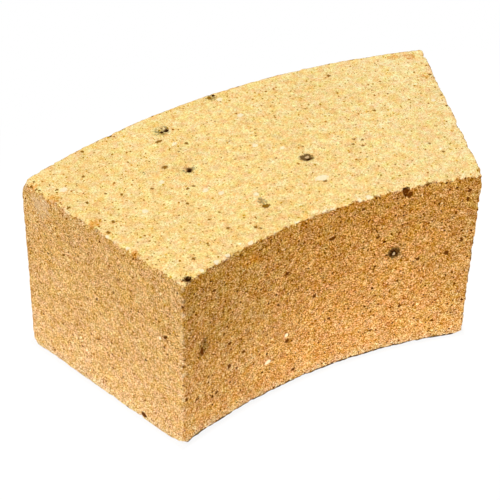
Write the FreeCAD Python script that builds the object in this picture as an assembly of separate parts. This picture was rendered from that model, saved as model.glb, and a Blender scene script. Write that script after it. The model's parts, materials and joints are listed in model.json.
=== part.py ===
"""Curved refractory firebrick for a round furnace lining, in millimetres.

The brick is one piece of pressed and fired clay, a sector of a ring. The concave hot face and the convex
cold face are arcs about the lining's axis, the two ends lie on planes through that axis, and the two beds
are flat. Pressing and handling leave its arrises rounded and some of its corners broken.

+Z runs up the lining's axis and +Y points away from it through the middle of the brick. The brick stands
on its lower bed, and the origin is on that bed, under the middle of the brick's box.
"""

import FreeCAD
import Part

import math
import os
from collections import namedtuple

# Ring that the brick is made for
HOT_FACE_RADIUS = 250.0
WALL = 100.0
BRICKS_IN_RING = 10

# Brick by itself
HEIGHT = 100.0
ARRIS_RADIUS = 1.5

# Broken corners: the end, the curved face and the bed that meet there, and how far the break reaches
# from the sharp corner along the edge through the wall, the curved edge and the upright edge
CornerBreak = namedtuple("CornerBreak", "end face bed through_wall along_curve upright")
CORNER_BREAKS = (
    CornerBreak("left", "cold", "upper", through_wall=5.0, along_curve=4.6, upright=3.8),
    CornerBreak("left", "cold", "lower", through_wall=3.6, along_curve=4.0, upright=4.6),
    CornerBreak("left", "hot", "upper", through_wall=3.5, along_curve=3.5, upright=3.5),
    CornerBreak("left", "hot", "lower", through_wall=4.2, along_curve=4.0, upright=5.0),
    CornerBreak("right", "hot", "lower", through_wall=3.0, along_curve=4.5, upright=2.8),
)

# Worked out from the sizes above
COLD_FACE_RADIUS = HOT_FACE_RADIUS + WALL
HALF_ANGLE = math.pi / BRICKS_IN_RING
AXIS_TO_ORIGIN = (HOT_FACE_RADIUS * math.cos(HALF_ANGLE) + COLD_FACE_RADIUS) / 2

# What the words of a corner stand for
UP = FreeCAD.Vector(0, 0, 1)
END_SIGN = {"left": -1, "right": 1}
FACE_RADIUS = {"hot": HOT_FACE_RADIUS, "cold": COLD_FACE_RADIUS}
INTO_WALL_SIGN = {"hot": 1, "cold": -1}
BED_HEIGHT = {"lower": 0.0, "upper": HEIGHT}
INTO_HEIGHT_SIGN = {"lower": 1, "upper": -1}


def outwards(angle):
    """The direction away from the lining's axis, at an angle from +Y towards +X."""
    return FreeCAD.Vector(math.sin(angle), math.cos(angle), 0)


def ring_point(radius, angle, height=0.0):
    """A point at a radius and an angle about the lining's axis."""
    return FreeCAD.Vector(0, -AXIS_TO_ORIGIN, height) + outwards(angle) * radius


def curved_face_points(radius):
    """The left end, the middle and the right end of a curved face, on the lower bed."""
    return [ring_point(radius, side * HALF_ANGLE) for side in (-1, 0, 1)]


def bed_outline():
    """The closed outline of a bed: two arcs about the axis, joined by the two radial ends."""
    hot = curved_face_points(HOT_FACE_RADIUS)
    cold = curved_face_points(COLD_FACE_RADIUS)
    edges = (
        Part.Arc(*hot),
        Part.LineSegment(hot[-1], cold[-1]),
        Part.Arc(*reversed(cold)),
        Part.LineSegment(cold[0], hot[0]),
    )
    return Part.Wire([edge.toShape() for edge in edges])


def pressed_block():
    """The unbroken brick, with every arris rounded."""
    block = Part.Face(bed_outline()).extrude(UP * HEIGHT)
    return block.makeFillet(ARRIS_RADIUS, block.Edges)


def broken_off(corner):
    """A block that covers what has broken off a corner, with one side on the plane of the break."""
    angle = END_SIGN[corner.end] * HALF_ANGLE
    sharp_corner = ring_point(FACE_RADIUS[corner.face], angle, BED_HEIGHT[corner.bed])
    wall_reach = outwards(angle) * INTO_WALL_SIGN[corner.face] * corner.through_wall
    curve_reach = UP.cross(outwards(angle)) * END_SIGN[corner.end] * corner.along_curve
    upright_reach = UP * INTO_HEIGHT_SIGN[corner.bed] * corner.upright
    out_of_brick = (curve_reach - wall_reach).cross(upright_reach - wall_reach).normalize()
    if out_of_brick.dot(wall_reach) > 0:
        out_of_brick = -out_of_brick
    side = corner.through_wall + corner.along_curve + corner.upright
    block = Part.makeBox(side, side, side, FreeCAD.Vector(-side / 2, -side / 2, 0))
    middle_of_break = sharp_corner + (wall_reach + curve_reach + upright_reach) / 3
    block.Placement = FreeCAD.Placement(middle_of_break, FreeCAD.Rotation(UP, out_of_brick))
    return block


def firebrick():
    """The whole brick, as handled: rounded arrises and broken corners."""
    broken = pressed_block().cut([broken_off(corner) for corner in CORNER_BREAKS])
    return broken.Solids[0]


def main():
    os.makedirs("parts", exist_ok=True)
    brick = firebrick()
    brick.exportStep("parts/firebrick.step")
    box = brick.optimalBoundingBox()
    print(f"firebrick {box.XLength:.1f} x {box.YLength:.1f} x {box.ZLength:.1f} mm")
    print(f"volume {brick.Volume:.0f} cubic mm in {len(brick.Faces)} faces, valid: {brick.isValid()}")


main()
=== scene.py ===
"""Looks of the curved firebrick: worn fireclay on a plain white floor, seen as in the photograph.

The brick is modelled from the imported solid. Its surface is divided finely, roughened, pitted and chipped,
and then thinned to a moderate mesh. One procedural material gives it the colour and the grain of fired
clay. Lengths are in millimetres, and become Blender's metres where they reach a mesh, a lamp or the camera.
"""

import itertools
import json
import math
from collections import namedtuple

import bpy
import numpy as np
from mathutils import Matrix, Vector

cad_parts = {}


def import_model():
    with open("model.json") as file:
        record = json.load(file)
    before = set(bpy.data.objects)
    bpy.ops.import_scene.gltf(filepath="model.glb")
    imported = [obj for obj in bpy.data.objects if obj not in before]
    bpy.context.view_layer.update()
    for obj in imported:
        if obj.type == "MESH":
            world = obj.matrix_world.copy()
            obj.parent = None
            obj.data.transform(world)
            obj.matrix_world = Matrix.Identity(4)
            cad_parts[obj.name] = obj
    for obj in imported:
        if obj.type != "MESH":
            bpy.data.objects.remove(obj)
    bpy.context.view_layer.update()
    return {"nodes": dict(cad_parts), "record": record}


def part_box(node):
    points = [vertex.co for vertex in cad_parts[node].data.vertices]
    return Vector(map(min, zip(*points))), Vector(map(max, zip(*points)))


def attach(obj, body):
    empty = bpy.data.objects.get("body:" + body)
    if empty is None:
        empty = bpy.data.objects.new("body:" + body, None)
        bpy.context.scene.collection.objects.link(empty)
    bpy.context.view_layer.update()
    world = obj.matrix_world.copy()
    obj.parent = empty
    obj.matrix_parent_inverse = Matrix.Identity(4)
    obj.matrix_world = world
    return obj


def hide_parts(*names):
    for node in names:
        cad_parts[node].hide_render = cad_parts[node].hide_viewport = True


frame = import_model()

NODE = "firebrick"
METRES = 0.001

# The ring that the brick belongs to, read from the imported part
mounts = {mount["name"]: mount for mount in frame["record"]["mounts"]}
right_end = mounts["right_end"]
HALF_ANGLE = math.atan2(-right_end["axis"][1], right_end["axis"][0])
MIDDLE_RADIUS = right_end["pos_m"][0] / math.sin(HALF_ANGLE) / METRES
AXIS_Y = right_end["pos_m"][1] / METRES - MIDDLE_RADIUS * math.cos(HALF_ANGLE)
LOWEST, HIGHEST = (np.array(corner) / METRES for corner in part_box(NODE))
COLD_RADIUS = HIGHEST[1] - AXIS_Y
HOT_RADIUS = 2 * MIDDLE_RADIUS - COLD_RADIUS
WALL = COLD_RADIUS - HOT_RADIUS
HEIGHT = HIGHEST[2]

# The photograph's viewpoint
VIEW_AZIMUTH = math.radians(-31.1)
VIEW_ELEVATION = math.radians(41.6)
VIEW_ROLL = math.radians(1.7)
VIEW_TARGET = Vector((-12.0, -1.5, 50.0))
VIEW_DISTANCE = 839.4
FOCAL_LENGTH = 128.26
SENSOR_WIDTH = 36.0

# Light: a soft lamp overhead, a weak lamp in front, a white room, and a floor that glows round the brick
# as a light table does
KEY_PLACE = Vector((-1200, -300, 2580))
KEY_SIZE = 1400
KEY_POWER = 42.0
FRONT_PLACE = Vector((350, -1000, 420))
FRONT_SIZE = 600
FRONT_POWER = 2.4
FILL = 0.5
FLOOR_SIZE = 6000
FLOOR_GREY = 0.85
TABLE_GLOW = 0.95
GLOW_STARTS = (1, 5)
GLOW_ENDS = (60, 170)

# How white the camera sees the floor at the brick, and how far from the brick it is wholly white
FLOOR_WHITENESS = 0.88
WHITE_FROM = 150

# The brick's mesh: the width of its small faces, the triangles left after thinning, how much of the detail
# is kept at arrises and pores, the gap in the texture layout, and the seed of all that is random
VOXEL = 0.55
MOST_TRIANGLES = 190_000
THINNING_STEPS = 20
ARRIS_KEPT = 0.9
PORE_KEPT = 0.7
ISLAND_GAP = 4
SEED = 7

# Bumps of the skin and of the crumbled arrises
Bumps = namedtuple("Bumps", "seed size height")
WARP = Bumps(SEED + 2, 38, 0.1)
COARSE_SKIN = Bumps(SEED + 3, 2.6, 0.09)
FINE_SKIN = Bumps(SEED + 4, 1.4, 0.07)
FINE_CRUMBS = Bumps(SEED + 5, 2.4, 0.9)
COARSE_CRUMBS = Bumps(SEED + 6, 6, 0.6)
LEAST_CRUMBLE = -0.1
MOST_CRUMBLE = 1
CRUMBLE_DEPTH = 0.7

# Pores all over and chips along the arrises: their number, their widths, and their depths as shares of the
# width. Chips have flat floors.
Hollows = namedtuple("Hollows", "number widths depths")
PORES = Hollows(900, widths=(0.9, 2.6), depths=(0.12, 0.3))
CHIPS = Hollows(420, widths=(1.4, 4.6), depths=(0.1, 0.34))
CHIP_FLOOR = 0.5

# Arrises: how far in they are rough, worn and chipped, how much sharper they are than the solid's, and how
# worn they are where these sides meet. A later line of wear holds over an earlier one.
ROUGH_WIDTH = 2.2
WORN_WIDTH = 4
CHIPPED_WIDTH = 0.8
SHARPER = 0.55
SHARPER_AT_FOOT = 0.4
FOOT = HEIGHT / 20
WEAR = 0.7
ARRIS_WEAR = {
    ("right_end",): 0.6,
    ("upper_bed", "cold_face"): 0.2,
    ("left_end", "cold_face"): 0.35,
    ("upper_bed", "hot_face"): 1.8,
    ("upper_bed", "left_end"): 1.4,
    ("lower_bed",): 0.2,
    ("lower_bed", "hot_face"): 0.35,
}

# How wide the change from one side to the next is
SIDE_BLEND = 3

# Uneven rims of spots, and the margin of fine mesh round a mark that isn't large
RIM_BUMP_SIZE = 1.6
RIM_UNEVENNESS = 0.3
LARGE_MARK = 20
MARK_MARGIN = 1.5

# Colours, in sRGB from 0 to 255
# The beds' clay is paler than the uprights' clay, and the hot face's darker than the ends': partly the
# clay's own tone, partly painted shade
BED_CLAY = (254, 213, 140)
PALED_BED_CLAY = (255, 218, 152)
END_CLAY = (215, 164, 93)
# Paler end clay of the painted light near the bottom
PAINTED_LIGHT_END_CLAY = (217, 170, 109)
HOT_CLAY = (211, 151, 75)
# Brown of the hot face's random patches and of its painted shade towards the top
BROWNED_AND_SHADED_CLAY = (173, 118, 22)
OCHRE = (212, 138, 28)
# Paler clay of the painted light at the foot
PAINTED_FOOT_LIGHT = (244, 208, 156)
DUST = (234, 204, 170)
PALE_GROG = (255, 242, 205)
BROWN_GRAIN = (140, 92, 0)
RED_BROWN_GRAIN = (92, 42, 0)
IRON_BROWN = (98, 58, 18)
# Black of the iron spots and of the painted contact shadow
IRON_AND_SHADOW_BLACK = (46, 22, 2)
# Grey of the scorch marks and of the painted shade at the hot face's right arris
SCORCH_AND_SHADE_GREY = (172, 171, 164)
CRUST = (106, 78, 40)
ASH = (222, 188, 138)
# Tint of the painted shade on the hot face
SHADE_TINT = (237, 243, 248)

# Where the smooth clay changes: the heights up to which an end and the foot are paler, as painted light,
# the height from which the hot face darkens upwards, as painted shade, and how far each change goes
PAINTED_LIGHT_END_HEIGHT = 0.6 * HEIGHT
PAINTED_FOOT_LIGHT_HEIGHTS = (1.5, 7)
PAINTED_FOOT_LIGHT_SHARE = 0.35
PAINTED_SHADE_FROM = 0.1 * HEIGHT
PAINTED_SHADE_AT_TOP = 0.74
BROWNED_IN_PATCHES = 0.18
OCHRE_SHARE = 0.65
HOT_OCHRE_SHARE = 0.5

# Widths of the grains, and how much each kind counts in the grain and in the fine relief
SAND = 0.4
GRIT = 0.95
LUMPS = 2.4
UPRIGHT_SAND_SHARE = 0.95
BED_SAND_SHARE = 1.0
UPRIGHT_GRIT_SHARE = 0.18
BED_GRIT_SHARE = 0.26
FINE_SHARE = 0.15
LUMP_SHARE = 0.018
GRIT_RELIEF = -0.5
FINE_RELIEF = 0.8
UPRIGHT_RELIEF = 0.6
BED_RELIEF = 0.25

# Pale grog and dark specks, one round grain in a cell: the cell's width, the largest grain's radius as a
# share of it, and how much brighter the faintest and the strongest grog is. Then come the shares of cells
# that are empty, the widths of the soft rims, and the random numbers of the faintest and darkest specks.
Grog = namedtuple("Grog", "cell largest faintest strongest")
Specks = namedtuple("Specks", "cell largest")
GROGS = (Grog(6, 0.16, 0.06, 0.22), Grog(14, 0.14, 0.03, 0.1))
SPECKS = (Specks(1.2, 0.39), Specks(2.1, 0.32), Specks(3.7, 0.2))
EMPTY_OF_GROG = 0.4
EMPTY_OF_SPECKS = 0.25
GROG_RIM = 0.05
SPECK_RIM = 0.08
SPECK_STRENGTHS = (0.25, 0.9)

# How strongly grain and specks show on each kind of side, as a share of full brightness on a display, and
# the darkest red, green and blue that they leave
BED_CONTRAST = 0.12
END_CONTRAST = 0.27
HOT_CONTRAST = 0.3
BED_SPECKS = 0.46
END_SPECKS = 0.8
HOT_SPECKS = 1.9
DARKEST = (0.3, 0.14, 0.01)
DISPLAY_GAMMA = 2.2

# What grain, specks, redness and yellowness add to red, green and blue, and how much redness counts on each
# kind of side
GRAIN_TINT = (1, 1, 1.12)
SPECK_TINT = (0.85, 1.02, 2.1)
RED_TINT = (0.01, -0.035, -0.035)
YELLOW_TINT = (0, 0, -0.045)
BED_REDNESS = 1.15
END_REDNESS = 0.45
HOT_REDNESS = 0.75

# The parts of the noise texture's range that it mostly keeps to, and far places from which the noise of
# redness and yellowness is taken, so that it differs from the rest
NOISE_RANGE = (0.3, 0.7)
WIDE_RANGE = (0.25, 0.75)
RED_PLACE = (300, 0, 0)
YELLOW_PLACE = (0, 300, 0)

# How grains are bent out of round
BEND_SIZE = 1.2
BEND = 0.9

# How ragged the rims of marks are, over which part of a mark's depth, and how much of it the edges of sides
# have. Then, where one side's clay gives way to the next one's, and where an arris is rubbed.
RAGGED = 0.45
RAGGED_PART = 0.25
RAGGED_EDGE = 0.3
SIDE_EDGE = (0.42, 0.58)
RUBBED = (0.3, 0.8)

# The finish of the clay
ROUGHNESS = 0.95
SHINE = 0.02
BUMP_HEIGHT = 0.6

# Marks that show in the photograph, with their size along and across the side. Along runs with the arc from
# the brick's middle, or on an end through the wall from the hot face. Across runs through the wall from the
# hot face on a bed, and is the height on an upright side.
Mark = namedtuple("Mark", "side along across width height depth", defaults=(0.0,))
MARKS = {
    "chip": (
        Mark("left_end", 3, 0, 9, 5, depth=0.8),
        Mark("hot_face", -78, 0, 6, 5, depth=0.6),
        Mark("upper_bed", 78.5, 0, 7, 7, depth=0.7),
        Mark("left_end", 99, 99, 11, 11, depth=0.5),
    ),
    # Painted contact shadow: a thin dark band along the foot of the hot face
    "painted_contact_shadow": (
        Mark("hot_face", -69, 0.4, 20, 4.6),
        *(Mark("hot_face", along, 0.2, 11, 3.4) for along in range(-76, 78, 7)),
    ),
    "iron": (
        Mark("upper_bed", -33.6, 87, 3.0, 2.8, depth=0.8),
        Mark("upper_bed", -36, 86.8, 2.2, 2.0, depth=0.5),
        Mark("upper_bed", -38, 56.7, 3.6, 3.6, depth=0.9),
        Mark("upper_bed", -1.2, 98.5, 2.2, 2.2, depth=0.6),
        Mark("upper_bed", -74, 1.8, 5.2, 5.0, depth=1.2),
        Mark("upper_bed", 41.6, 0.6, 4.2, 2.8, depth=0.6),
        Mark("upper_bed", 13.6, 36, 4.2, 2.2),
        Mark("hot_face", 38.5, 62, 6.2, 6.2),
    ),
    "crust": (
        Mark("upper_bed", 13.5, 37.5, 7.0, 6.4, depth=0.5),
        Mark("hot_face", 38.5, 62, 7.4, 7.4, depth=0.6),
    ),
    "scorch_and_painted_shade": (
        Mark("upper_bed", -35.8, 87.5, 10, 7.5),
        Mark("upper_bed", -38, 57, 7, 6),
        Mark("upper_bed", 13.5, 37.5, 8, 7),
        Mark("upper_bed", -20, 20.5, 5, 8),
        Mark("upper_bed", -3, 97.5, 7, 6),
        Mark("hot_face", 38.5, 62, 9, 9),
        Mark("hot_face", -65.2, 56, 7, 12),
        # Painted shade: a dark line along the right arris of the hot face
        *(Mark("hot_face", 79.4, height, 4.6, 16) for height in range(4, 64, 6)),
    ),
    "brown": (
        Mark("upper_bed", -20, 17, 4.6, 3.4, depth=0.3),
        Mark("upper_bed", -40.5, 82, 3.4, 1.9),
        Mark("upper_bed", -47, 65, 3.6, 2.6),
        Mark("upper_bed", 52.5, 0, 4.2, 3.8, depth=1.0),
        Mark("upper_bed", -3.8, 97.4, 2.6, 2.2),
        Mark("upper_bed", -30, 73.5, 1.9, 1.9),
        Mark("upper_bed", 40, 41, 1.9, 1.9),
        Mark("upper_bed", 37.5, 37.5, 1.7, 1.7),
        Mark("upper_bed", 43, 39, 1.9, 1.7),
        Mark("upper_bed", 41, 35, 1.7, 1.7),
        Mark("upper_bed", 60.5, 58, 2.0, 1.8),
        Mark("upper_bed", -31.5, 8, 1.9, 1.9),
        Mark("upper_bed", -30, 6, 1.6, 1.6),
        Mark("upper_bed", -42.5, 14.5, 2.0, 1.8),
        Mark("upper_bed", 56, 90.5, 1.9, 1.9),
        Mark("upper_bed", -75, 97.5, 2.0, 2.0),
        Mark("upper_bed", 12, 19, 3.2, 1.4),
        Mark("upper_bed", 101.5, 79.5, 2.2, 2.0, depth=0.6),
        Mark("upper_bed", 96.5, 62, 1.6, 1.6, depth=0.4),
        Mark("upper_bed", 94, 53.5, 1.6, 1.6, depth=0.4),
        Mark("upper_bed", -85.2, 50.8, 2.0, 2.0),
        Mark("upper_bed", -90.6, 47, 2.2, 2.0),
        Mark("upper_bed", -89.5, 68.2, 2.0, 1.8),
        Mark("upper_bed", -98.7, 71.6, 2.2, 1.8),
        Mark("upper_bed", -79.4, 67.4, 1.6, 1.6),
        Mark("upper_bed", -73.3, 62.1, 1.7, 1.5),
        Mark("upper_bed", -59.4, 56.6, 1.9, 1.6),
        Mark("upper_bed", -97.8, 84.5, 1.8, 1.5),
        Mark("upper_bed", -105, 89.4, 1.8, 1.7),
        Mark("upper_bed", -106.2, 91, 1.7, 1.6),
        Mark("upper_bed", -107, 95.2, 2.0, 1.8),
        Mark("upper_bed", -104.4, 95.8, 1.7, 1.6),
        Mark("upper_bed", -109.8, 95, 2.2, 2.0),
        Mark("upper_bed", -93.8, 99.2, 1.8, 1.8),
        Mark("upper_bed", -82.8, 83.1, 1.8, 1.6),
        Mark("upper_bed", -41.7, 46.7, 2.0, 1.6),
        Mark("upper_bed", -45.1, 46.7, 2.0, 1.6),
        Mark("upper_bed", -55.5, 12.4, 1.6, 1.6),
        Mark("upper_bed", -65.7, 9.2, 1.9, 1.8),
        Mark("upper_bed", -50.1, 38.5, 1.6, 1.6),
        Mark("upper_bed", -65.6, 99.6, 2.0, 2.0),
        Mark("upper_bed", -58.6, 98.9, 2.2, 2.0),
        Mark("upper_bed", -34.3, 99.8, 2.2, 2.0),
        Mark("upper_bed", 71.9, 20.2, 1.7, 1.7),
        Mark("upper_bed", 69.4, 27.3, 1.7, 1.7),
        Mark("upper_bed", -36, 70.5, 1.6, 1.5),
        Mark("hot_face", 41.6, 97.8, 4.4, 5.0, depth=0.8),
        Mark("hot_face", 43.4, 96, 3.0, 3.4),
        Mark("hot_face", -66.7, 53, 2.4, 6.4, depth=0.4),
        Mark("hot_face", 5.5, 82.5, 3.6, 2.8, depth=0.3),
        Mark("hot_face", 72, 62, 2.2, 2.0),
        Mark("hot_face", -50, 47, 2.6, 2.4),
        Mark("hot_face", -50, 32.5, 3.2, 3.4),
        Mark("hot_face", -18, 72, 3.2, 2.4),
        Mark("hot_face", 65, 55.5, 2.4, 2.4),
        Mark("hot_face", 51, 55, 2.6, 2.4),
        Mark("hot_face", 73, 92, 2.4, 2.4),
        Mark("hot_face", -16.5, 29, 2.9, 2.9),
        Mark("hot_face", -12, 8, 2.8, 2.4),
        Mark("hot_face", -70, 25, 2.2, 2.2),
        Mark("hot_face", -57.5, 20.5, 2.2, 2.4),
        Mark("hot_face", 44, 27, 2.6, 2.6),
        Mark("hot_face", -41.5, 36.5, 2.2, 2.4),
        Mark("hot_face", -76.5, 30, 2.2, 3.0),
        Mark("hot_face", -45.5, 28.5, 1.8, 1.8),
        Mark("hot_face", 72.5, 87, 1.6, 4.0),
        Mark("hot_face", 62, 12.5, 2.4, 1.8),
        Mark("hot_face", 30, 15.5, 3.0, 1.6),
        Mark("hot_face", 29, 74.6, 2.2, 2.2),
        Mark("hot_face", 20.5, 94.2, 2.6, 1.8),
        Mark("hot_face", -2.4, 50.5, 2.2, 2.6),
        Mark("hot_face", 6.2, 32.7, 2.2, 2.2),
        Mark("hot_face", -59.6, 85.3, 1.7, 1.7),
        Mark("hot_face", -32.4, 69.9, 1.8, 1.7),
        Mark("hot_face", -54.1, 69.3, 1.7, 1.7),
        Mark("hot_face", 16.8, 34.7, 1.9, 1.7),
        Mark("hot_face", -62.7, 34.6, 1.6, 1.6),
        Mark("left_end", 11, 62.5, 2.8, 2.8),
        Mark("left_end", 0.5, 87, 2.2, 2.2),
        Mark("left_end", 25.5, 3, 3.6, 3.2, depth=0.4),
        Mark("left_end", 42.5, 69, 1.9, 1.9),
        Mark("left_end", 53.5, 58, 1.9, 1.9),
        Mark("left_end", 0, 52, 2.2, 2.2),
        Mark("left_end", 0, 40, 2.4, 2.2),
        Mark("left_end", -0.5, 65, 2.0, 2.0),
        Mark("left_end", 11.3, 56.3, 1.6, 1.6),
        Mark("left_end", 0.2, 98.6, 2.0, 2.0),
    ),
    "ochre": (
        Mark("upper_bed", -93, 56, 10, 6),
        Mark("upper_bed", -88, 29, 9, 6),
        Mark("upper_bed", -103, 81, 11, 7),
        Mark("upper_bed", -108, 94, 9, 7),
        Mark("upper_bed", 100, 95, 8, 6),
        Mark("upper_bed", 93, 96, 9, 5),
        Mark("upper_bed", 98, 78, 7, 4),
        Mark("hot_face", 1.5, 83.5, 12, 8),
        Mark("hot_face", -38, 90, 12, 8),
    ),
    "ash": (
        Mark("upper_bed", 14.2, 38, 2.8, 2.4),
        Mark("hot_face", 38.7, 61.2, 2.0, 2.0),
    ),
    "dust": (
        Mark("left_end", 88, 93, 18, 16),
    ),
    # Painted shade: greyer, darker clay towards both ends of the hot face and in a patch near its top
    "painted_shade": (
        Mark("hot_face", -76, 55, 145, 220),
        Mark("hot_face", 3, 84, 18, 14),
        Mark("hot_face", 110, 50, 110, 220),
    ),
    "pale": (
        Mark("upper_bed", 12, 21.5, 8.0, 4.4),
        Mark("upper_bed", 0, 94.5, 3.6, 3.0),
        Mark("upper_bed", -38.5, 41, 3.6, 2.6),
        Mark("upper_bed", -33.5, 35.5, 3.6, 2.4),
        Mark("upper_bed", 7.5, 48.5, 3.4, 2.4),
        Mark("upper_bed", 2.5, 79, 3.4, 3.0),
        Mark("upper_bed", -95, 82.3, 4.2, 3.2),
        Mark("upper_bed", -69.2, 46.8, 3.2, 2.6),
        Mark("upper_bed", -53, 57.5, 3.2, 2.6),
        Mark("upper_bed", -35, 76.5, 3.4, 2.4),
        Mark("upper_bed", -2.8, 56, 3.4, 2.8),
        Mark("upper_bed", -20, 26, 3.0, 2.4),
        Mark("upper_bed", 90.6, 58.7, 3.0, 2.6),
        Mark("upper_bed", -66.5, 1.4, 2.6, 2.2),
        Mark("upper_bed", -58, 1.2, 3.4, 2.2),
        Mark("upper_bed", -52, 1.2, 3.0, 2.4),
        Mark("upper_bed", -38.5, 1.2, 3.2, 2.2),
        Mark("upper_bed", -13.5, 1.2, 3.4, 2.2),
        Mark("upper_bed", 1, 1, 2.8, 2.4),
        Mark("upper_bed", 5, 0.8, 2.4, 2.4),
        Mark("upper_bed", 18.5, 0.8, 2.4, 2.4),
        Mark("upper_bed", 23, 0.8, 3.0, 3.0),
        Mark("upper_bed", -92.5, 45.5, 2.8, 2.6),
        Mark("upper_bed", -88, 34, 2.6, 2.4),
        Mark("upper_bed", -96.5, 57, 2.6, 2.6),
        Mark("hot_face", -27, 21, 3.8, 3.2),
        Mark("hot_face", -17, 33, 1.9, 1.9),
        Mark("left_end", 14, 60, 2.0, 2.0),
    ),
}

SIDES = ("lower_bed", "upper_bed", "hot_face", "cold_face", "left_end", "right_end")
UP = np.array((0.0, 0.0, 1.0))


def on_side(side, along, across):
    """The point at a mark's place on a marked side, and the directions in which along and across grow."""
    if side == "left_end":
        radius, height = HOT_RADIUS + along, across
        angle = -HALF_ANGLE
    elif side == "hot_face":
        radius, height = HOT_RADIUS, across
        angle = along / radius
    else:
        radius, height = HOT_RADIUS + across, HEIGHT
        angle = along / radius
    outwards = np.array((math.sin(angle), math.cos(angle), 0))
    sideways = np.array((math.cos(angle), -math.sin(angle), 0))
    point = (0, AXIS_Y, 0) + outwards * radius + UP * height
    grow_along = outwards if side == "left_end" else sideways
    grow_across = outwards if side == "upper_bed" else UP
    return point, grow_along, grow_across


def ring_place(points):
    """The radius and the angle of each point about the ring's axis."""
    radius = np.hypot(points[:, 0], points[:, 1] - AXIS_Y)
    angle = np.arctan2(points[:, 0], points[:, 1] - AXIS_Y)
    return radius, angle


def side_distances(points):
    """How far each point lies inside each of the six sides, one column a side."""
    radius, angle = ring_place(points)
    return np.stack((
        points[:, 2],
        HEIGHT - points[:, 2],
        radius - HOT_RADIUS,
        COLD_RADIUS - radius,
        (HALF_ANGLE + angle) * radius,
        (HALF_ANGLE - angle) * radius,
    ), axis=1)


def smooth_noise(points, size, seed):
    """Seeded noise from -1 to 1 at each point, with bumps about as wide as size."""
    cell = (points - LOWEST) / size + 1
    whole = np.floor(cell).astype(int)
    part = cell - whole
    part = part * part * (3 - 2 * part)
    lattice = np.random.default_rng(seed).uniform(-1, 1, whole.max(0) + 2)
    total = np.zeros(len(points))
    for corner in itertools.product((0, 1), repeat=3):
        weight = np.prod(np.where(corner, part, 1 - part), axis=1)
        total += weight * lattice[tuple((whole + corner).T)]
    return total


def bumpy(points, bumps):
    """The height of some bumps at each point."""
    return bumps.height * smooth_noise(points, bumps.size, bumps.seed)


def coordinates(mesh, name="co"):
    """The points of a mesh, or another value with three parts at each point, one row a point."""
    values = np.empty(len(mesh.vertices) * 3, np.float32)
    mesh.vertices.foreach_get(name, values)
    return values.reshape(-1, 3).astype(float)


def applied(thing):
    """The mesh of an object with its modifiers applied; the object is removed."""
    bpy.context.scene.collection.objects.link(thing)
    graph = bpy.context.evaluated_depsgraph_get()
    mesh = bpy.data.meshes.new_from_object(thing.evaluated_get(graph))
    bpy.data.objects.remove(thing)
    return mesh


def fine_mesh(node):
    """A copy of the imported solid's mesh, divided into small even faces."""
    thing = bpy.data.objects.new("fine", node.data.copy())
    remesh = thing.modifiers.new("even faces", "REMESH")
    remesh.mode = "VOXEL"
    remesh.voxel_size = VOXEL * METRES
    return applied(thing)


def thinned(mesh, keep):
    """The mesh with fewer triangles, fewest where keep is low."""
    thing = bpy.data.objects.new("thin", mesh)
    group = thing.vertex_groups.new(name="thin")
    levels = np.round((1 - keep) * THINNING_STEPS).astype(int)
    for level in np.unique(levels):
        group.add(np.flatnonzero(levels == level).tolist(), level / THINNING_STEPS, "REPLACE")
    triangles = sum(len(face.vertices) - 2 for face in mesh.polygons)
    decimate = thing.modifiers.new("thin", "DECIMATE")
    decimate.ratio = MOST_TRIANGLES / triangles
    decimate.vertex_group = "thin"
    decimate.use_collapse_triangulate = True
    return applied(thing)


class Surface:
    """The points of the fine mesh, in which hollows and spots are found quickly."""

    def __init__(self, points):
        self.points = points
        self.order = np.argsort(points[:, 0])
        self.sorted_x = points[self.order, 0]
        self.unevenness = smooth_noise(points, RIM_BUMP_SIZE, SEED + 1)

    def spot(self, centre, width, height=None, along=UP, across=UP):
        """The points of a spot, and how deep in it they are: 1 in its middle, 0 at its uneven rim."""
        height = height or width
        reach = max(width, height)
        first, last = np.searchsorted(self.sorted_x, (centre[0] - reach, centre[0] + reach))
        near = self.order[first:last]
        away = self.points[near] - centre
        if width == height:
            distance = np.linalg.norm(away, axis=1) / (width / 2)
        else:
            out = np.cross(along, across)
            spans = ((along, width), (across, height), (out, min(width, height)))
            distance = np.sqrt(sum((away @ way / (size / 2)) ** 2 for way, size in spans))
        uneven = self.unevenness[near] * min(RIM_UNEVENNESS, 1 / reach)
        depth = 1 - (distance * (1 + uneven)) ** 2
        return near[depth > 0], depth[depth > 0]


def arris_wear(inside):
    """How worn each point is, by the arris that it is near."""
    wear = np.full(len(inside), WEAR)
    for sides, level in ARRIS_WEAR.items():
        columns = [SIDES.index(side) for side in sides]
        wear[(inside[:, columns] < WORN_WIDTH).all(1)] = level
    return wear


def hollow_out(surface, from_arris, wear, depth, keep):
    """Adds the depth of pores and chips at places taken at random, and keeps the mesh fine at pores."""
    random = np.random.default_rng(SEED)
    for centre in random.choice(len(depth), PORES.number):
        width = random.uniform(*PORES.widths)
        pore, hollow = surface.spot(surface.points[centre], width)
        depth[pore] += hollow * width * random.uniform(*PORES.depths)
        keep[pore] = np.maximum(keep[pore], PORE_KEPT)
    for centre in random.choice(np.flatnonzero(from_arris < CHIPPED_WIDTH), CHIPS.number):
        width = random.uniform(*CHIPS.widths)
        chip, hollow = surface.spot(surface.points[centre], width)
        flat = np.minimum(hollow, CHIP_FLOOR)
        depth[chip] += flat * width * random.uniform(*CHIPS.depths) * wear[centre]


def put_marks(surface, depth, keep):
    """Adds the depth of the marks, keeps the mesh fine round small ones, and returns where each kind is."""
    looks = {kind: np.zeros(len(depth)) for kind in MARKS}
    for kind, marks in MARKS.items():
        for mark in marks:
            centre, along, across = on_side(mark.side, mark.along, mark.across)
            spot, middle = surface.spot(centre, mark.width, mark.height, along, across)
            depth[spot] += middle * mark.depth
            looks[kind][spot] = np.maximum(looks[kind][spot], middle)
            size = max(mark.width, mark.height)
            if size < LARGE_MARK:
                keep[surface.spot(centre, size + 2 * MARK_MARGIN)[0]] = 1
    return looks


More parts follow.
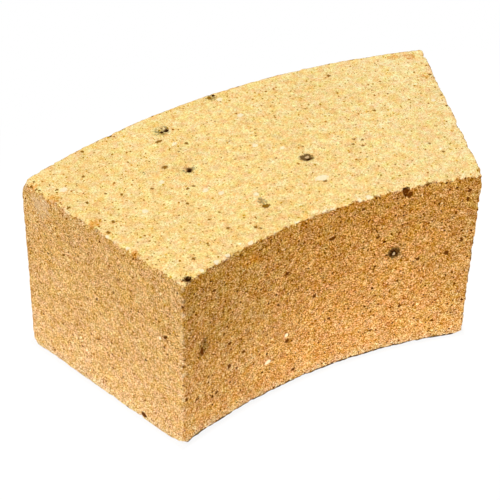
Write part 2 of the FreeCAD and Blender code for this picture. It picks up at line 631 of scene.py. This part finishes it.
def worn_brick():
    """The brick's mesh: rough, with pores, worn arrises and marks, and with the levels for its material."""
    mesh = fine_mesh(frame["nodes"][NODE])
    points = coordinates(mesh) / METRES
    normals = coordinates(mesh, "normal")
    inside = side_distances(points)
    surface = Surface(points)

    from_arris = np.sort(inside, axis=1)[:, 1]
    near_arris = np.clip(1 - from_arris / ROUGH_WIDTH, 0, 1)
    wear = arris_wear(inside)
    sharper = np.where(points[:, 2] < FOOT, SHARPER_AT_FOOT, SHARPER)
    crumble = bumpy(points, FINE_CRUMBS) + bumpy(points, COARSE_CRUMBS)
    crumble = np.clip(crumble, LEAST_CRUMBLE, MOST_CRUMBLE) * CRUMBLE_DEPTH * wear
    depth = WARP.height + bumpy(points, WARP)
    depth += bumpy(points, COARSE_SKIN) + bumpy(points, FINE_SKIN)
    depth += near_arris * (crumble - sharper)
    keep = near_arris * ARRIS_KEPT
    hollow_out(surface, from_arris, wear, depth, keep)
    looks = put_marks(surface, depth, keep)
    points -= normals * depth[:, None]
    points[:, 2] = np.maximum(points[:, 2], 0)
    mesh.vertices.foreach_set("co", (points * METRES).astype(np.float32).ravel())

    lead = {}
    for column, side in enumerate(SIDES):
        lead[side] = np.delete(inside, column, 1).min(1) - inside[:, column]
    looks["bed"] = np.clip(np.maximum(lead["upper_bed"], lead["lower_bed"]) / SIDE_BLEND + 0.5, 0, 1)
    looks["hot"] = np.clip(lead["hot_face"] / SIDE_BLEND + 0.5, 0, 1)
    looks["arris"] = near_arris
    for name, values in looks.items():
        mesh.attributes.new(name, "FLOAT", "POINT").data.foreach_set("value", values.astype(np.float32))
    return thinned(mesh, keep)


def lay_out(mesh):
    """A texture layout with one flat island for each side, all to the same scale."""
    points = coordinates(mesh) / METRES
    corners = np.empty(len(mesh.loops), np.int32)
    mesh.loops.foreach_get("vertex_index", corners)
    corners = corners.reshape(-1, 3)
    side = side_distances(points[corners].mean(1)).argmin(1).repeat(3)
    corner_points = points[corners.ravel()]
    radius, angle = ring_place(corner_points)
    through, height = radius - HOT_RADIUS, corner_points[:, 2]
    bed_arc, hot_arc, cold_arc = angle * MIDDLE_RADIUS, angle * HOT_RADIUS, angle * COLD_RADIUS
    places = {
        "cold_face": (cold_arc, height),
        "left_end": (through, height),
        "upper_bed": (bed_arc, through),
        "right_end": (through, height),
        "lower_bed": (bed_arc, through),
        "hot_face": (hot_arc, height),
    }
    rows = (("cold_face", "left_end"), ("upper_bed", "right_end"), ("lower_bed", "hot_face"))
    layout = np.zeros((len(side), 2))
    top = ISLAND_GAP
    widest = 0
    for row in rows:
        left = ISLAND_GAP
        tallest = 0
        for name in row:
            on_it = side == SIDES.index(name)
            island = np.stack(places[name], axis=1)[on_it]
            island -= island.min(0)
            layout[on_it] = island + (left, top)
            left += island[:, 0].max() + ISLAND_GAP
            tallest = max(tallest, island[:, 1].max())
        top += tallest + ISLAND_GAP
        widest = max(widest, left)
    mesh.uv_layers.new(name="OFBake").data.foreach_set("uv", (layout / max(widest, top)).ravel())


def linear(colour):
    """An sRGB colour from 0 to 255 as Blender's linear colour."""
    parts = []
    for value in colour:
        part = value / 255
        parts.append(part / 12.92 if part <= 0.04045 else ((part + 0.055) / 1.055) ** 2.4)
    return (*parts, 1.0)


Cells = namedtuple("Cells", "distance chance other")


class Nodes:
    """A node tree with short ways to add what the materials here need."""

    def __init__(self, tree):
        self.tree = tree
        tree.nodes.clear()

    def add(self, kind, inputs, **settings):
        """A new node, with its inputs linked or set."""
        node = self.tree.nodes.new("ShaderNode" + kind)
        for name, value in settings.items():
            setattr(node, name, value)
        for name, value in inputs.items():
            socket = node.inputs[name]
            if isinstance(value, bpy.types.NodeSocket):
                self.tree.links.new(value, socket)
            else:
                socket.default_value = value
        return node

    def math(self, operation, *values):
        """Arithmetic on numbers."""
        return self.add("Math", dict(enumerate(values)), operation=operation).outputs[0]

    def vector(self, operation, *values):
        """Arithmetic on vectors or colours."""
        return self.add("VectorMath", dict(enumerate(values)), operation=operation).outputs[0]

    def span(self, value, low, high, to_low=0.0, to_high=1.0):
        """A number spread from one range over another, and held within it."""
        inputs = {"Value": value, "From Min": low, "From Max": high, "To Min": to_low, "To Max": to_high}
        return self.add("MapRange", inputs).outputs["Result"]

    def between(self, share, first, second):
        """A number that goes from the first to the second."""
        return self.add("Mix", {0: share, 2: first, 3: second}).outputs[0]

    def mix(self, share, first, second, blend="MIX"):
        """A colour with a share of a second one over it."""
        node = self.add("Mix", {0: share, 6: first, 7: second}, data_type="RGBA", blend_type=blend)
        return node.outputs[2]

    def attribute(self, name):
        """A number that the mesh carries at its points."""
        return self.add("Attribute", {}, attribute_name=name).outputs["Fac"]

    def noise(self, place, size, detail):
        """Noise with bumps about as wide as size."""
        return self.add("TexNoise", {"Vector": place, "Scale": 1 / size, "Detail": detail}).outputs["Fac"]

    def cells(self, place, size):
        """Cells about as wide as size: the distance from the middle, in cells, and two random numbers."""
        node = self.add("TexVoronoi", {"Vector": place, "Scale": 1 / size})
        chances = self.add("SeparateColor", {0: node.outputs["Color"]}).outputs
        return Cells(node.outputs["Distance"], chances[0], chances[1])

    def in_millimetres(self):
        """The place on an object."""
        return self.vector("MULTIPLY", self.add("TexCoord", {}).outputs["Object"], (1 / METRES,) * 3)


class Clay(Nodes):
    """Fired clay: buff grains of many tones, pale grog, brown grains and dark iron."""

    def __init__(self, tree):
        super().__init__(tree)
        self.place = self.in_millimetres()
        wobble = self.add("TexNoise", {"Vector": self.place, "Scale": 1 / BEND_SIZE, "Detail": 2.0})
        self.bent = self.vector("MULTIPLY_ADD", wobble.outputs["Color"], (BEND,) * 3, self.place)
        self.ragged = self.uneven(size=0.8, detail=2, low=-RAGGED, high=RAGGED)
        jagged = self.uneven(size=2.2, detail=1, low=-RAGGED, high=RAGGED)
        jagged = self.math("MULTIPLY_ADD", self.ragged, RAGGED_EDGE, jagged)
        self.bed = self.span(self.math("ADD", self.attribute("bed"), jagged), *SIDE_EDGE)
        hot = self.math("MULTIPLY_ADD", self.ragged, RAGGED_EDGE, self.attribute("hot"))
        self.hot = self.span(hot, *SIDE_EDGE)
        self.grit = self.cells(self.place, GRIT)
        self.fine = self.noise(self.place, SAND, detail=1)

    def uneven(self, size, detail, low, high, over=NOISE_RANGE, shift=(0, 0, 0)):
        """A number that noise with bumps about as wide as size moves from low to high."""
        place = self.vector("ADD", self.place, shift)
        return self.span(self.noise(place, size, detail), *over, low, high)

    def by_side(self, end, hot, bed):
        """The number for the kind of side: the ends and the cold face, the hot face, or a bed."""
        return self.between(self.bed, self.between(self.hot, end, hot), bed)

    def laid(self, kind, uneven, rim, share=1.0):
        """How much a kind of mark shows: nothing outside its ragged rim, and its share within it."""
        depth = self.attribute(kind)
        depth = self.math("MULTIPLY_ADD", uneven, self.span(depth, 0, RAGGED_PART), depth)
        return self.span(depth, *rim, 0, share)

    def grains(self, cell, empty, largest, rim):
        """Round grains, one in each cell that isn't empty: 1 inside, 0 outside, and a random number."""
        cells = self.cells(self.bent, cell)
        inside = self.math("SUBTRACT", self.span(cells.chance, empty, 1, 0, largest), cells.distance)
        return self.span(inside, 0, rim), cells.other

    def smooth_clay(self):
        """The clay without its grain: on the hot face darker upwards, as painted shade, and browned in
        random patches; paler towards the bottom of the other uprights and at every foot, as painted light;
        paler on the beds.
        """
        axes = self.add("SeparateXYZ", {0: self.place}).outputs
        height = axes["Z"]
        # Painted light: the ends and the cold face are paler towards the bottom
        clay = self.mix(self.span(height, 0, PAINTED_LIGHT_END_HEIGHT), linear(PAINTED_LIGHT_END_CLAY), linear(END_CLAY))
        clay = self.mix(self.hot, clay, linear(HOT_CLAY))
        browned_and_shaded = self.uneven(size=16, detail=3, low=0, high=BROWNED_IN_PATCHES, over=(0.45, 0.7))
        # Painted shade: the hot face grows darker towards its top
        browned_and_shaded = self.math("ADD", browned_and_shaded, self.span(height, PAINTED_SHADE_FROM, HEIGHT, 0, PAINTED_SHADE_AT_TOP))
        clay = self.mix(self.math("MULTIPLY", browned_and_shaded, self.hot), clay, linear(BROWNED_AND_SHADED_CLAY))
        # Painted light: the foot of every upright is paler
        clay = self.mix(self.span(height, *PAINTED_FOOT_LIGHT_HEIGHTS, PAINTED_FOOT_LIGHT_SHARE, 0), clay, linear(PAINTED_FOOT_LIGHT))
        paled = self.span(axes["X"], 0, HIGHEST[0])
        # The beds take the paler bed clay: partly their own tone, partly painted light
        clay = self.mix(self.bed, clay, self.mix(paled, linear(BED_CLAY), linear(PALED_BED_CLAY)))
        cloudy = self.uneven(size=1.6, detail=2, low=-0.6, high=0.4, over=(0.35, 0.65))
        stained = self.laid("ochre", cloudy, rim=(0.05, 0.7))
        stained = self.math("MULTIPLY", stained, self.between(self.hot, OCHRE_SHARE, HOT_OCHRE_SHARE))
        return self.mix(stained, clay, linear(OCHRE))

    def grain(self):
        """How much brighter or darker sand and grit make the clay."""
        sand = self.span(self.cells(self.place, SAND).chance, 0, 1, -1, 1)
        grit = self.span(self.grit.chance, 0, 1, -1, 1)
        fine = self.span(self.fine, *NOISE_RANGE, -1, 1)
        sand_share = self.between(self.bed, UPRIGHT_SAND_SHARE, BED_SAND_SHARE)
        grit_share = self.between(self.bed, UPRIGHT_GRIT_SHARE, BED_GRIT_SHARE)
        grain = self.math("MULTIPLY", sand, sand_share)
        grain = self.math("MULTIPLY_ADD", grit, grit_share, grain)
        grain = self.math("MULTIPLY_ADD", fine, FINE_SHARE, grain)
        return self.math("MULTIPLY", grain, self.by_side(END_CONTRAST, HOT_CONTRAST, BED_CONTRAST))

    def mottling(self):
        """How much brighter or darker lumps, clouds and pale grog make the clay."""
        lumps = self.cells(self.bent, LUMPS)
        broad = self.math("MULTIPLY", self.span(lumps.chance, 0, 1, -1, 1), LUMP_SHARE)
        large_clouds = self.uneven(size=24, detail=3, low=-0.02, high=0.02, over=WIDE_RANGE)
        small_clouds = self.uneven(size=5, detail=3, low=-0.03, high=0.03, over=WIDE_RANGE)
        broad = self.math("ADD", self.math("ADD", broad, large_clouds), small_clouds)
        for kind in GROGS:
            grog, strength = self.grains(kind.cell, EMPTY_OF_GROG, kind.largest, GROG_RIM)
            grog = self.math("MULTIPLY", grog, self.span(strength, 0, 1, kind.faintest, kind.strongest))
            broad = self.math("ADD", broad, grog)
        return broad

    def specks(self):
        """How much darker specks make the clay."""
        depth = self.by_side(END_SPECKS, HOT_SPECKS, BED_SPECKS)
        specks = 0.0
        for kind in SPECKS:
            speck, strength = self.grains(kind.cell, EMPTY_OF_SPECKS, kind.largest, SPECK_RIM)
            speck = self.math("MULTIPLY", speck, self.span(strength, *SPECK_STRENGTHS, 0, -1))
            specks = self.math("MULTIPLY_ADD", speck, depth, specks)
        return specks

    def with_grain(self, clay):
        """The clay with its grain, added in brightness as a display shows it."""
        redness = self.uneven(size=4, detail=2, low=-1, high=1, shift=RED_PLACE)
        redness = self.math("MULTIPLY", redness, self.by_side(END_REDNESS, HOT_REDNESS, BED_REDNESS))
        yellowness = self.uneven(size=5, detail=2, low=-1, high=1, shift=YELLOW_PLACE)
        tint = self.vector("MULTIPLY_ADD", self.grain(), GRAIN_TINT, self.mottling())
        tint = self.vector("MULTIPLY_ADD", self.specks(), SPECK_TINT, tint)
        tint = self.vector("MULTIPLY_ADD", redness, RED_TINT, tint)
        tint = self.vector("MULTIPLY_ADD", yellowness, YELLOW_TINT, tint)
        levels = self.add("Gamma", {0: clay, 1: 1 / DISPLAY_GAMMA}).outputs[0]
        levels = self.vector("MAXIMUM", self.vector("ADD", levels, tint), DARKEST)
        levels = self.vector("MINIMUM", levels, (1,) * 3)
        return self.add("Gamma", {0: levels, 1: DISPLAY_GAMMA}).outputs[0]

    def with_marks(self, clay):
        """The clay with its rubbed arrises and the marks, the uppermost last; among the marks are painted
        shade and a painted contact shadow.
        """
        arris = self.attribute("arris")
        patches = self.noise(self.place, size=4, detail=2)
        for over, share, colour in (((0.5, 0.7), 0.25, OCHRE), ((0.5, 0.3), 0.35, PALE_GROG)):
            rubbed = self.math("MULTIPLY", self.span(patches, *over), self.span(arris, *RUBBED, 0, share))
            clay = self.mix(rubbed, clay, linear(colour))

        # Painted shade on the hot face, multiplied over the clay
        shaded = self.math("MULTIPLY", self.attribute("painted_shade"), self.hot)
        clay = self.mix(shaded, clay, linear(SHADE_TINT), "MULTIPLY")
        # Painted contact shadow along the foot of the hot face
        contact_shadow = self.laid("painted_contact_shadow", self.ragged, rim=(0.1, 0.5), share=0.9)
        clay = self.mix(contact_shadow, clay, linear(IRON_AND_SHADOW_BLACK))
        flecked = self.uneven(size=2.5, detail=3, low=-0.8, high=0.3)
        clay = self.mix(self.laid("dust", flecked, rim=(0.1, 0.9), share=0.45), clay, linear(DUST))
        grainy = self.span(self.grit.other, 0, 1, -0.8, 0.6)
        # Scorch marks, and a line of painted shade along the hot face's right arris
        clay = self.mix(self.laid("scorch_and_painted_shade", grainy, rim=(0.1, 0.9)), clay, linear(SCORCH_AND_SHADE_GREY), "MULTIPLY")
        brown = self.mix(self.bed, linear(RED_BROWN_GRAIN), linear(BROWN_GRAIN))
        clay = self.mix(self.laid("brown", self.ragged, rim=(0.15, 0.4), share=0.95), clay, brown)
        crusted = self.uneven(size=0.9, detail=3, low=-0.4, high=0.4)
        clay = self.mix(self.laid("crust", crusted, rim=(0.1, 0.4), share=0.95), clay, linear(CRUST))
        clay = self.mix(self.laid("iron", crusted, rim=(0.2, 0.45), share=0.9), clay, linear(IRON_BROWN))
        clay = self.mix(self.laid("iron", crusted, rim=(0.5, 0.75)), clay, linear(IRON_AND_SHADOW_BLACK))
        clay = self.mix(self.laid("ash", self.ragged, rim=(0.3, 0.6), share=0.9), clay, linear(ASH))
        return self.mix(self.laid("pale", crusted, rim=(0.15, 0.5), share=0.8), clay, linear(PALE_GROG))

    def relief(self):
        """The fine relief of grit and sand, weaker on the beds."""
        relief = self.math("MULTIPLY", self.fine, FINE_RELIEF)
        relief = self.math("MULTIPLY_ADD", self.grit.distance, GRIT_RELIEF, relief)
        relief = self.math("MULTIPLY", relief, self.between(self.bed, UPRIGHT_RELIEF, BED_RELIEF))
        bump = self.add("Bump", {"Height": relief, "Distance": BUMP_HEIGHT * METRES, "Strength": 1.0})
        return bump.outputs[0]


def fireclay():
    """The brick's material."""
    material = bpy.data.materials.new("fireclay_worn")
    material.use_nodes = True
    clay = Clay(material.node_tree)
    shader = clay.add("BsdfPrincipled", {
        "Base Color": clay.with_marks(clay.with_grain(clay.smooth_clay())),
        "Roughness": ROUGHNESS,
        "Specular IOR Level": SHINE,
        "Normal": clay.relief(),
    })
    clay.add("OutputMaterial", {"Surface": shader.outputs[0]})
    return material


def floor_material():
    """White paper, lifted towards white where the camera sees it, with a glow round the brick."""
    material = bpy.data.materials.new("white_floor")
    material.use_nodes = True
    nodes = Nodes(material.node_tree)
    place = nodes.vector("SUBTRACT", nodes.in_millimetres(), (0, AXIS_Y, 0))
    axes = nodes.add("SeparateXYZ", {0: place}).outputs
    squares = nodes.math("ADD", nodes.math("POWER", axes[0], 2), nodes.math("POWER", axes[1], 2))
    radius = nodes.math("SQRT", squares)
    angle = nodes.math("ABSOLUTE", nodes.math("ARCTAN2", axes[0], axes[1]))
    from_middle = nodes.math("ABSOLUTE", nodes.math("SUBTRACT", radius, MIDDLE_RADIUS))
    beyond_faces = nodes.math("SUBTRACT", from_middle, WALL / 2)
    beyond_ends = nodes.math("MULTIPLY", nodes.math("SUBTRACT", angle, HALF_ANGLE), radius)
    away = nodes.math("MAXIMUM", beyond_faces, beyond_ends)
    glow = nodes.span(away, *GLOW_ENDS, TABLE_GLOW, 0)
    glow = nodes.math("MULTIPLY", nodes.span(away, *GLOW_STARTS), glow)
    table = nodes.add("Emission", {"Color": (1, 1, 1, 1), "Strength": glow}).outputs[0]
    paper = nodes.add("BsdfDiffuse", {"Color": (FLOOR_GREY,) * 3 + (1,)}).outputs[0]
    lit = nodes.add("AddShader", {0: paper, 1: table}).outputs[0]
    white = nodes.add("Emission", {"Color": (1, 1, 1, 1), "Strength": 1.0}).outputs[0]
    whiteness = nodes.span(away, 0, WHITE_FROM, FLOOR_WHITENESS, 1)
    seen = nodes.math("MULTIPLY", nodes.add("LightPath", {}).outputs["Is Camera Ray"], whiteness)
    surface = nodes.add("MixShader", {0: seen, 1: lit, 2: white}).outputs[0]
    nodes.add("OutputMaterial", {"Surface": surface})
    return material


def floor():
    """The sheet of paper that the brick stands on."""
    half = FLOOR_SIZE / 2 * METRES
    corners = [(-half, -half, 0), (half, -half, 0), (half, half, 0), (-half, half, 0)]
    sheet = bpy.data.meshes.new("floor")
    sheet.from_pydata(corners, [], [(0, 1, 2, 3)])
    sheet.materials.append(floor_material())
    thing = bpy.data.objects.new("floor", sheet)
    bpy.context.scene.collection.objects.link(thing)


def area_light(name, place, size, power):
    """A round lamp that points at the brick."""
    lamp = bpy.data.lights.new(name, "AREA")
    lamp.shape = "DISK"
    lamp.size = size * METRES
    lamp.energy = power
    thing = bpy.data.objects.new(name, lamp)
    thing.location = place * METRES
    thing.rotation_euler = (-place).to_track_quat("-Z", "Y").to_euler()
    bpy.context.scene.collection.objects.link(thing)


def world():
    """A white room, which the camera sees brighter than it lights the brick."""
    made = bpy.data.worlds.new("white_room")
    made.use_nodes = True
    nodes = Nodes(made.node_tree)
    seen = nodes.add("LightPath", {}).outputs["Is Camera Ray"]
    strength = nodes.span(seen, 0, 1, FILL, 1.0)
    background = nodes.add("Background", {"Color": (1, 1, 1, 1), "Strength": strength})
    nodes.add("OutputWorld", {"Surface": background.outputs[0]})
    bpy.context.scene.world = made


mesh = worn_brick()
lay_out(mesh)
mesh.shade_smooth()
mesh.materials.clear()
mesh.materials.append(fireclay())
brick = bpy.data.objects.new("brick", mesh)
bpy.context.scene.collection.objects.link(brick)
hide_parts(NODE)
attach(brick, "root")

floor()
world()
area_light("key", KEY_PLACE, KEY_SIZE, KEY_POWER)
area_light("front", FRONT_PLACE, FRONT_SIZE, FRONT_POWER)

camera = bpy.data.objects.new("camera", bpy.data.cameras.new("camera"))
camera.data.lens = FOCAL_LENGTH
camera.data.sensor_width = SENSOR_WIDTH
turn = Matrix.Rotation(VIEW_AZIMUTH, 4, "Z") @ Matrix.Rotation(math.pi / 2 - VIEW_ELEVATION, 4, "X")
backwards = turn @ Vector((0, 0, 1))
stand = Matrix.Translation((VIEW_TARGET + backwards * VIEW_DISTANCE) * METRES)
camera.matrix_world = stand @ turn @ Matrix.Rotation(VIEW_ROLL, 4, "Z")
bpy.context.scene.collection.objects.link(camera)
bpy.context.scene.camera = camera
bpy.context.scene.view_settings.view_transform = "Standard"
